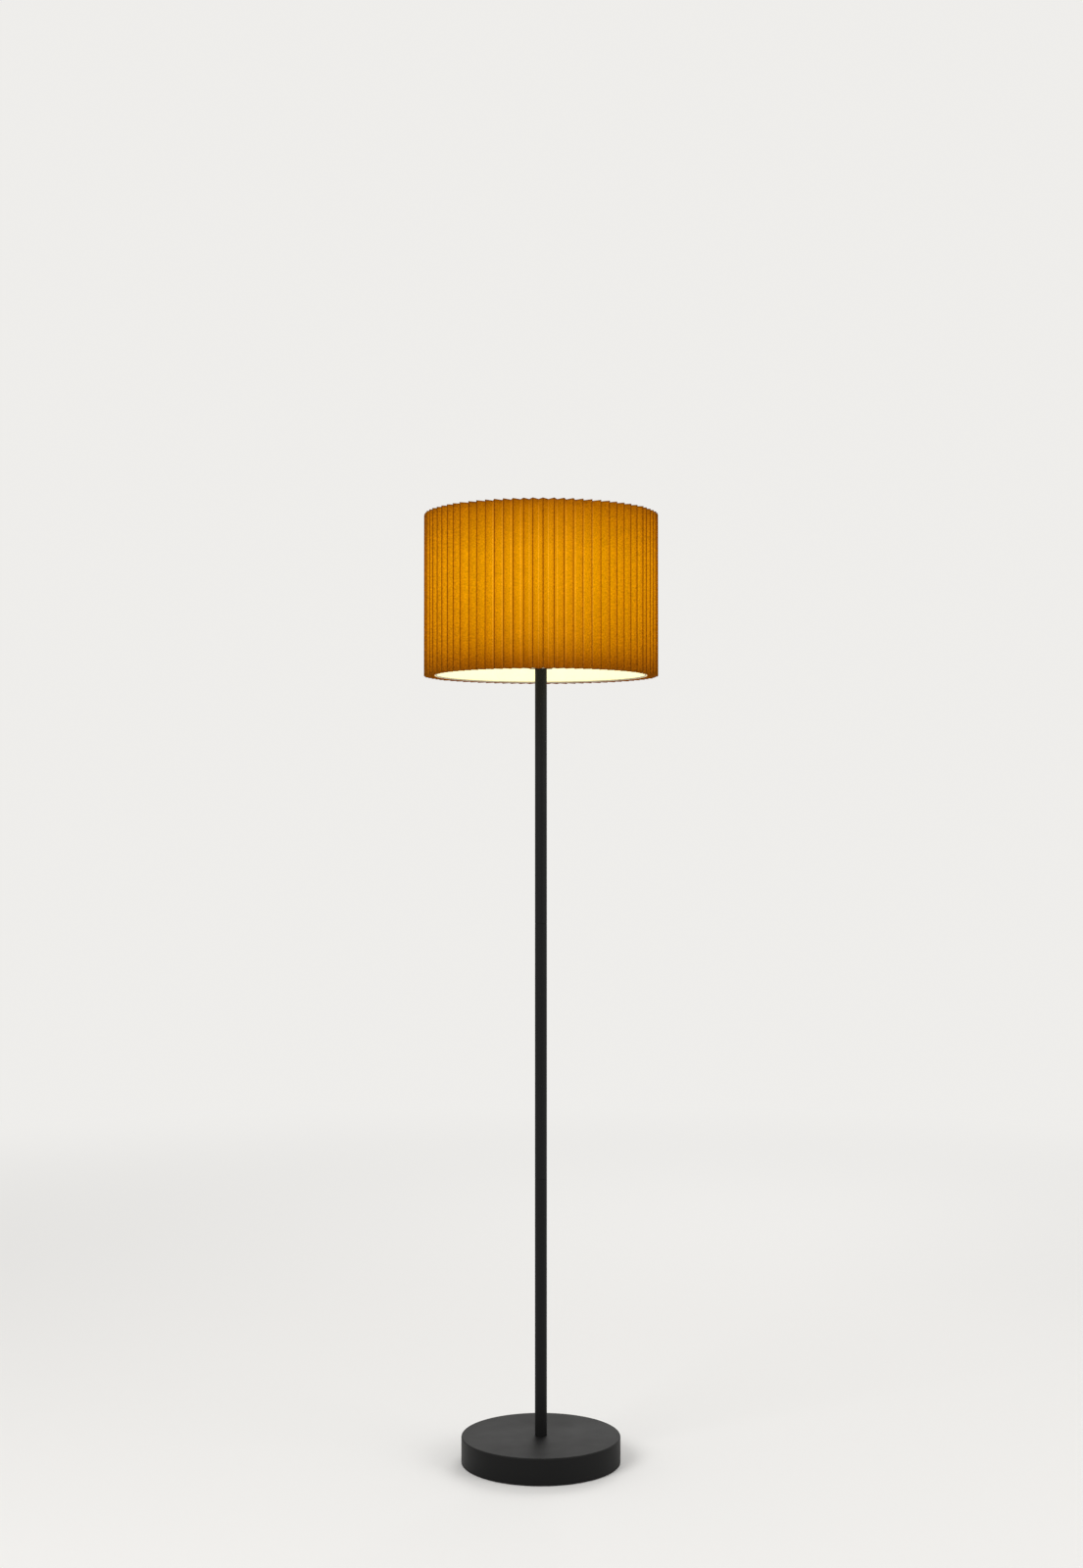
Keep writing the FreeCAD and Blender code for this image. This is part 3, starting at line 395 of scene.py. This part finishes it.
# %% Black powder-coated steel
COAT_BLACK = (0.005, 0.005, 0.005)
DUST_GREY = (0.30, 0.28, 0.25, 1)


def black_steel():
    """Matt black powder coat, on the base, the pole and the lamp's small fittings."""
    material, tree, shader, place = new_finish("black_powder_coat", COAT_BLACK, 0.45)
    feed(tree, shader, "Specular IOR Level", 0.14)
    coat = use_effect(tree, POWDER_COAT, Place=place, Grain=1100.0)
    normal = add_node(tree, "ShaderNodeNewGeometry").outputs["Normal"]
    dust = use_effect(tree, DUST, Place=place, Normal=normal, Amount=0.03)["Dust"]
    feed(tree, shader, "Base Color", mix_colours(tree, dust, (*COAT_BLACK, 1), DUST_GREY))
    rough = patchy(tree, coat["Patches"], 0.50, 0.60)
    rougher = calculate(tree, "MULTIPLY", dust, 0.8)
    feed(tree, shader, "Roughness", calculate(tree, "ADD", rough, rougher))
    bump(tree, shader, coat["Height"], 0.00006, 0.5)
    return material


# %% Plated and bare metals
def plated_metal(name, colour, roughness, lines=2500.0):
    """Zinc, nickel or brass, drawn or turned, with a slightly patchy shine."""
    material, tree, shader, place = new_finish(name, colour, roughness, metallic=1.0)
    metal = use_effect(tree, DRAWN_METAL, Place=place, Lines=lines)
    rough = patchy(tree, metal["Patches"], roughness - 0.06, roughness + 0.08)
    feed(tree, shader, "Roughness", rough)
    dull = tuple(0.8 * part for part in colour)
    tone = mix_colours(tree, metal["Patches"], (*colour, 1), (*dull, 1))
    feed(tree, shader, "Base Color", tone)
    bump(tree, shader, metal["Height"], 0.00002, 0.35)
    return material


# %% Moulded plastics and pressed board
def moulded(name, colour, roughness, grain=1500.0, depth=0.00002):
    """A moulded or enamelled surface with a fine even texture."""
    material, tree, shader, place = new_finish(name, colour, roughness)
    coat = use_effect(tree, POWDER_COAT, Place=place, Grain=grain)
    rough = patchy(tree, coat["Patches"], roughness - 0.04, roughness + 0.06)
    feed(tree, shader, "Roughness", rough)
    bump(tree, shader, coat["Height"], depth, 0.4)
    return material


def fibrous(name, colour, second, roughness, grain, depth):
    """Felt, hardboard or card: short fibres in two tones."""
    material, tree, shader, place = new_finish(name, colour, roughness)
    fibres = noise(tree, place, grain, detail=6.0, roughness=0.7)
    clumps = noise(tree, place, grain / 12, detail=3.0)
    tone = calculate(tree, "MULTIPLY", patchy(tree, fibres, 0.0, 1.0),
                     patchy(tree, clumps, 0.5, 1.0, WIDE_SPAN))
    feed(tree, shader, "Base Color", mix_colours(tree, tone, (*colour, 1), (*second, 1)))
    bump(tree, shader, fibres, depth, 0.8)
    return material


def cast_cement():
    """Rough grey cement with pits."""
    material, tree, shader, place = new_finish("cast_cement", (0.36, 0.35, 0.33), 0.9)
    cloud = noise(tree, place, 30.0, detail=6.0)
    pits = remap(tree, noise(tree, place, 300.0, detail=2.0), 0.25, 0.4)
    colour = mix_colours(tree, cloud, (0.28, 0.27, 0.25, 1), (0.46, 0.45, 0.42, 1))
    feed(tree, shader, "Base Color", colour)
    bump(tree, shader, pits, 0.0006, 0.8)
    return material


# %% The lit bulb
def lit_surface(name, colour, glow, strength):
    """A frosted surface that is lit from inside."""
    material, tree, shader, place = new_finish(name, colour, 0.6)
    cloud = patchy(tree, noise(tree, place, 40.0, detail=3.0), 0.96, 1.03, WIDE_SPAN)
    feed(tree, shader, "Emission Color", scaled(tree, glow, cloud))
    feed(tree, shader, "Emission Strength", strength)
    return material


# %% [markdown]
# ## The glowing paper
# The pleated paper is translucent and lit from behind. At an outer fold the sheet is creased and
# stands furthest from the liner, so each fold shows as a dark line. Towards the inner fold the paper
# grows brighter. The light also falls off at the top and bottom hems, and where it is dim it is
# redder. Speckles, clouds, dark flecks and upright strands in the sheet mottle it, and they change
# the paper's own colour as well as the light that comes through.
#
# The mesh carries what the material needs: an attribute "rise", 0 on an outer fold and 1 on an inner
# one, and a UV map, the sheet laid out flat in metres, so the fibres lie in the sheet and follow it
# round the folds. Each list of light below pairs a place with what comes through there.

# %% Pleated paper
SHADE_LOW, SHADE_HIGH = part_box("shade_pleats")
PAPER_COLOUR = (0.11, 0.043, 0.0006)
PAPER_GRAIN_DEPTH = 0.00015
REDDER_WHEN_DIM = 1.4
FOLD_LIGHT = [
    (0.0, (0.11, 0.015, 0.0)),
    (0.05, (0.16, 0.026, 0.0)),
    (0.11, (0.54, 0.190, 0.0)),
    (0.50, (0.63, 0.250, 0.0)),
    (0.90, (0.66, 0.268, 0.0)),
    (1.0, (0.86, 0.375, 0.015)),
]
HEM_LIGHT = [
    (0.0, 0.14), (0.006, 0.28), (0.03, 0.38), (0.07, 0.51),
    (0.12, 0.68), (0.20, 0.84), (0.32, 0.97), (0.50, 1.07),
    (0.68, 1.06), (0.80, 0.93), (0.886, 0.80), (0.95, 0.66),
    (0.977, 0.53), (0.994, 0.40), (0.9955, 0.16), (1.0, 0.12),
]
ALONG_PLEATS = (1.0, 0.04, 1.0)
ALONG_STRANDS = (1.0, 0.15, 1.0)


def height_share(tree, place):
    """0 at the shade's lower edge and 1 at its upper edge."""
    split = add_node(tree, "ShaderNodeSeparateXYZ")
    feed(tree, split, 0, place)
    return remap(tree, split.outputs["Z"], SHADE_LOW.z, SHADE_HIGH.z)


def ramp(tree, value, stops, interpolation="LINEAR"):
    """A colour ramp with those stops: (place, colour)."""
    node = add_node(tree, "ShaderNodeValToRGB")
    node.color_ramp.interpolation = interpolation
    elements = node.color_ramp.elements
    while len(elements) < len(stops):
        elements.new(0.5)
    for element, (spot, colour) in zip(elements, stops):
        element.position = spot
        element.color = (*colour, 1)
    feed(tree, node, "Fac", value)
    return node.outputs["Color"]


def amber_shade(share):
    """A share of the light as a colour, redder where less comes through the paper."""
    return (share, share ** REDDER_WHEN_DIM, share)


def pleated_paper():
    """Amber paper with the bulb behind it."""
    material, tree, shader, place = new_finish("amber_pleated_paper", PAPER_COLOUR, 0.9)
    rise = add_node(tree, "ShaderNodeAttribute", attribute_name="rise").outputs["Fac"]
    flat = add_node(tree, "ShaderNodeTexCoord").outputs["UV"]
    hem_stops = [(spot, amber_shade(share)) for spot, share in HEM_LIGHT]
    hem_light = ramp(tree, height_share(tree, place), hem_stops)
    through = mix_colours(tree, 1.0, ramp(tree, rise, FOLD_LIGHT), hem_light, "MULTIPLY")

    speckle = noise(tree, flat, 300.0, detail=5.0, roughness=0.78)
    cloud = noise(tree, flat, 60.0, detail=4.0, roughness=0.6)
    flecks = noise(tree, flat, 620.0, detail=2.0, roughness=0.6)
    strands = noise(tree, stretched(tree, flat, ALONG_STRANDS), 1300.0, detail=2.0, roughness=0.6)
    pleat_tone = noise(tree, stretched(tree, flat, ALONG_PLEATS), 34.0, detail=1.0)
    fibre = remap(tree, speckle, 0.36, 0.64, 0.80, 1.25)
    for pattern in (
        patchy(tree, cloud, 0.94, 1.05),
        remap(tree, flecks, 0.56, 0.68, 1.0, 0.74),
        remap(tree, strands, 0.35, 0.65, 0.95, 1.04),
        patchy(tree, pleat_tone, 0.97, 1.04),
    ):
        fibre = calculate(tree, "MULTIPLY", fibre, pattern)

    sheet_tone = remap(tree, fibre, 0.8, 1.2, 0.35, 1.65)
    feed(tree, shader, "Base Color", scaled(tree, PAPER_COLOUR, sheet_tone))
    feed(tree, shader, "Emission Color", scaled(tree, through, fibre))
    feed(tree, shader, "Emission Strength", 1.0)
    feed(tree, shader, "Specular IOR Level", 0.04)
    bump(tree, shader, speckle, PAPER_GRAIN_DEPTH, 0.5)
    return material


# %% [markdown]
# ## Helpers for modelling
# The sleeve and the liner are made with the tools that a modeller would use. These helpers select
# what a tool should work on, and end each piece in the same way: thickness, finish and body, with
# the frame's own piece for it hidden.

# %% Modelling helpers
SMOOTH_BELOW = math.radians(35)


def deselect():
    """Leaves edit mode and selects nothing."""
    if bpy.context.object and bpy.context.object.mode != "OBJECT":
        bpy.ops.object.mode_set(mode="OBJECT")
    bpy.ops.object.select_all(action="DESELECT")


def select_only(piece):
    deselect()
    piece.select_set(True)
    bpy.context.view_layer.objects.active = piece


def named(name):
    """Names the piece that was just added."""
    piece = bpy.context.object
    piece.name = name
    piece.data.name = name
    return piece


def settle(piece):
    """Puts the piece's place into its mesh, so that its object sits at the origin."""
    select_only(piece)
    bpy.ops.object.transform_apply(location=True, rotation=True, scale=True)


def pick(piece, kind, test):
    """In edit mode, selects only the vertices or edges that pass the test, and counts them."""
    bpy.ops.mesh.select_all(action="DESELECT")
    bpy.ops.mesh.select_mode(type=kind)
    mesh = bmesh.from_edit_mesh(piece.data)
    count = 0
    for item in (mesh.verts if kind == "VERT" else mesh.edges):
        if test(item):
            item.select_set(True)
            count += 1
    mesh.select_flush_mode()
    bmesh.update_edit_mesh(piece.data)
    return count


def thicken(piece, thickness):
    """Gives a sheet its thickness, inwards from its mesh, and smooths what isn't a crease."""
    select_only(piece)
    modifier = piece.modifiers.new("thickness", "SOLIDIFY")
    modifier.thickness = thickness
    modifier.offset = -1
    bpy.ops.object.modifier_apply(modifier=modifier.name)
    bpy.ops.object.shade_smooth_by_angle(angle=SMOOTH_BELOW)


def finish_piece(piece, body, material, node):
    """Gives the piece its finish and its body, and hides the frame's node that it stands for."""
    piece.data.materials.clear()
    piece.data.materials.append(material)
    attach(piece, body)
    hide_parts(node)
    print("%-20s %6d faces" % (piece.name, len(piece.data.polygons)))


# %% [markdown]
# ## The pleated sleeve
# The sleeve is one strip of paper, folded like an accordion and closed into a drum. A circle whose
# vertices are taken inwards by turns gives the zigzag. It is extruded to the shade's height, its
# folds are bevelled so that they are creases and not knife edges, and rows are cut across it. Then
# every fold is moved a little in code, because hand-folded paper is never quite even, and Solidify
# gives it the sheet's thickness.

# %% Zigzag drum
PLEATS = 76
HALF_PITCH = math.pi / PLEATS
FOLD_RADIUS = 0.2
VALLEY_RADIUS = 0.1825
FOLD_ROUND = 0.0005
FOLD_SEGMENTS = 3
ROWS = 24
UPRIGHT = 0.01

shade_height = SHADE_HIGH.z - SHADE_LOW.z
deselect()
bpy.ops.mesh.primitive_circle_add(vertices=2 * PLEATS, radius=FOLD_RADIUS,
                                  location=(0, 0, SHADE_LOW.z))
sleeve = named("pleated_sleeve")
settle(sleeve)
bpy.ops.object.mode_set(mode="EDIT")


def step_of(vertex):
    """The number of the fold that a vertex lies on, outer ones even, counted round from +X."""
    turn = math.atan2(vertex.co.y, vertex.co.x) / (2 * math.pi)
    return round(turn * 2 * PLEATS) % (2 * PLEATS)


def runs_up(edge):
    """Whether an edge runs up the sheet, along a fold."""
    return abs(edge.verts[0].co.z - edge.verts[1].co.z) > UPRIGHT


valleys = pick(sleeve, "VERT", lambda vertex: step_of(vertex) % 2 == 1)
inward = VALLEY_RADIUS / FOLD_RADIUS
bpy.ops.transform.resize(value=(inward, inward, 1), center_override=(0, 0, SHADE_LOW.z))
bpy.ops.mesh.select_all(action="SELECT")
bpy.ops.mesh.extrude_region_move(TRANSFORM_OT_translate={"value": (0, 0, shade_height)})
folds = pick(sleeve, "EDGE", runs_up)
print(valleys, "valleys,", folds, "folds")
bpy.ops.mesh.bevel(offset=FOLD_ROUND, segments=FOLD_SEGMENTS, affect="EDGES")
pick(sleeve, "EDGE", runs_up)
bpy.ops.mesh.subdivide(number_cuts=ROWS)
bpy.ops.object.mode_set(mode="OBJECT")
print(len(sleeve.data.vertices), "vertices in the sheet")

# %% [markdown]
# The mesh is a closed band, but the paper on it was once flat. To lay fibres in the sheet, the band
# is unrolled: every upright line of vertices gets its distance along the folded strip, and that
# distance and the height make the UV map, in metres. The map that the circle brought along is
# removed first, because a material reads the first one. The "rise" of each line, how far in it lies
# between the outer and the inner folds, is kept as an attribute before the folds are made uneven.

# %% Unroll the sheet
TURN_DIGITS = 5
SEAM_JUMP = 0.1

band = sleeve.data


def turn_of(point):
    """The angle round the lamp, from the middle of the last half pleat."""
    return (math.atan2(point.y, point.x) + HALF_PITCH / 2) % (2 * math.pi)


lines = {}
for vertex in band.vertices:
    lines.setdefault(round(turn_of(vertex.co), TURN_DIGITS), []).append(vertex.index)
turns = sorted(lines)
corners = [band.vertices[lines[turn][0]].co.xy for turn in turns]
along = [0.0]
for first, second in zip(corners, corners[1:]):
    along.append(along[-1] + (second - first).length)
strip_length = along[-1] + (corners[0] - corners[-1]).length
radii = [corner.length for corner in corners]
far_out, far_in = max(radii), min(radii)

along_of = {}
rise = band.attributes.new("rise", "FLOAT", "POINT")
for turn, distance, radius in zip(turns, along, radii):
    for index in lines[turn]:
        along_of[index] = distance
        rise.data[index].value = (far_out - radius) / (far_out - far_in)

for spare in list(band.uv_layers):
    band.uv_layers.remove(spare)
flat_map = band.uv_layers.new(name="flat_sheet")
for face in band.polygons:
    distances = [along_of[index] for index in face.vertices]
    crosses_seam = max(distances) > min(distances) + SEAM_JUMP
    for loop, index, distance in zip(face.loop_indices, face.vertices, distances):
        if crosses_seam and distance < strip_length / 2:
            distance += strip_length
        flat_map.data[loop].uv = (distance, band.vertices[index].co.z - SHADE_LOW.z)
print(len(turns), "lines of vertices; the strip is %.3f m long" % strip_length)

# %% [markdown]
# Each fold gets three draws: how far it is shifted round the drum, how much it leans, and how much
# further out it stands. Inner folds only move outwards, and by less, so that they stay clear of
# the liner.

# %% Uneven folds
SEED = 7
FIRST_FOLD = math.radians(1.2)
PITCH_UNEVEN = 0.06
DEPTH_UNEVEN = 0.0009
INNER_SHARE = 0.4

draws = random.Random(SEED)
fold_moves = [
    (draws.gauss(0, PITCH_UNEVEN) * HALF_PITCH, draws.gauss(0, PITCH_UNEVEN / 2) * HALF_PITCH,
     draws.uniform(-1, 1) * DEPTH_UNEVEN)
    for _ in range(2 * PLEATS)
]
for vertex in band.vertices:
    step = step_of(vertex)
    shift, lean, outward = fold_moves[step]
    if step % 2:
        outward = abs(outward) * INNER_SHARE
    height = (vertex.co.z - SHADE_LOW.z) / shade_height - 0.5
    radius = vertex.co.xy.length + outward
    turn = math.atan2(vertex.co.y, vertex.co.x) + FIRST_FOLD + shift + lean * height
    vertex.co.x = radius * math.cos(turn)
    vertex.co.y = radius * math.sin(turn)

# %% Thickness and finish of the sleeve
PAPER_THICKNESS = 0.0005

select_only(sleeve)
bpy.ops.object.mode_set(mode="EDIT")
bpy.ops.mesh.select_all(action="SELECT")
bpy.ops.mesh.normals_make_consistent(inside=False)
bpy.ops.object.mode_set(mode="OBJECT")
thicken(sleeve, PAPER_THICKNESS)
finish_piece(sleeve, "shade", pleated_paper(), "shade_pleats")

# %% [markdown]
# ## The liner
# Inside the pleats stands a smooth card drum. On the real shade it is a straight strip, cut flat,
# rolled up and glued to the two rings with a narrow lap. It is made the same way here: a grid of
# the flat strip's shape is rolled round the lamp's axis, and its end passes outside its beginning
# for the lap. The grid's own UV map is then already the flat sheet.

# %% Liner
LINER_LOW, LINER_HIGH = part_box("shade_liner")
LAP = 0.012
LAP_RAMP = 0.006
CARD_THICKNESS = 0.0005
LINER_COLUMNS = 240
LINER_ROWS = 6
SEAM_TURN = math.radians(78)
LINER_LIGHT = [
    (0.0, (0.98, 0.90, 0.52)),
    (0.30, (1.05, 0.96, 0.58)),
    (0.52, (1.08, 0.98, 0.60)),
    (0.75, (0.88, 0.77, 0.41)),
    (1.0, (0.62, 0.52, 0.23)),
]


def lit_liner():
    """Cream card, brightest level with the bulb."""
    material, tree, shader, place = new_finish("lit_liner", (0.40, 0.37, 0.27), 0.6)
    light = ramp(tree, height_share(tree, place), LINER_LIGHT, "EASE")
    cloud = patchy(tree, noise(tree, place, 40.0, detail=3.0), 0.96, 1.03)
    feed(tree, shader, "Emission Color", scaled(tree, light, cloud))
    feed(tree, shader, "Emission Strength", 1.0)
    return material


liner_radius = LINER_HIGH.x
liner_height = LINER_HIGH.z - LINER_LOW.z
liner_round = 2 * math.pi * liner_radius
deselect()
bpy.ops.mesh.primitive_grid_add(x_subdivisions=LINER_COLUMNS, y_subdivisions=LINER_ROWS, size=1,
                                location=(0.5, 0.5, 0))
liner = named("liner_drum")
settle(liner)
for vertex in liner.data.vertices:
    distance = vertex.co.x * (liner_round + LAP)
    over = min(1.0, max(0.0, (distance - liner_round + LAP_RAMP) / LAP_RAMP))
    turn = SEAM_TURN + distance / liner_radius
    radius = liner_radius + CARD_THICKNESS * over
    height = LINER_LOW.z + vertex.co.y * liner_height
    vertex.co = (radius * math.cos(turn), radius * math.sin(turn), height)
thicken(liner, CARD_THICKNESS)
finish_piece(liner, "shade", lit_liner(), "shade_liner")

# %% [markdown]
# ## The other finishes, piece by piece
# Every other piece of the frame keeps its constructed shape, which is already the real one, and
# takes the finish of its material slot.

# %% Finishes by slot
FINISHES = {
    "felt": fibrous("black_felt", (0.014, 0.014, 0.014), (0.045, 0.044, 0.042), 1.0, 2200.0,
                    0.0004),
    "fibreboard": fibrous("hardboard", (0.20, 0.125, 0.07), (0.36, 0.25, 0.15), 0.75, 900.0,
                          0.00012),
    "cast_cement": cast_cement(),
    "black_steel": black_steel(),
    "black_nylon": moulded("black_nylon", (0.016, 0.016, 0.016), 0.42),
    "zinc_steel": plated_metal("zinc_plate", (0.62, 0.62, 0.60), 0.34),
    "harp_nickel": plated_metal("nickel_plate", (0.66, 0.63, 0.58), 0.24),
    "insulating_card": fibrous("insulating_card", (0.42, 0.29, 0.15), (0.60, 0.45, 0.27), 0.8,
                               1400.0, 0.00008),
    "black_phenolic": moulded("black_phenolic", (0.014, 0.012, 0.011), 0.28, 500.0, 0.00001),
    "contact_brass": plated_metal("bright_brass", (0.78, 0.56, 0.22), 0.28),
    "bulb_metal": plated_metal("bulb_nickel", (0.72, 0.72, 0.71), 0.22, 1800.0),
    "bulb_white": moulded("bulb_white", (0.78, 0.77, 0.74), 0.4, 900.0, 0.00001),
    "bulb_diffuser": lit_surface("frosted_diffuser", (0.9, 0.85, 0.75), (1.0, 0.86, 0.62), 5.0),
    "shade_wire": moulded("cream_enamel", (0.42, 0.39, 0.31), 0.35, 700.0, 0.00001),
}

slot_of = {part["node"]: part["material_slot"] for part in frame["record"]["subparts"]}
for name, piece in nodes.items():
    finish = FINISHES.get(slot_of[name])
    if finish:
        piece.data.materials.clear()
        piece.data.materials.append(finish)
print(len(FINISHES), "finishes on", len(nodes), "pieces")
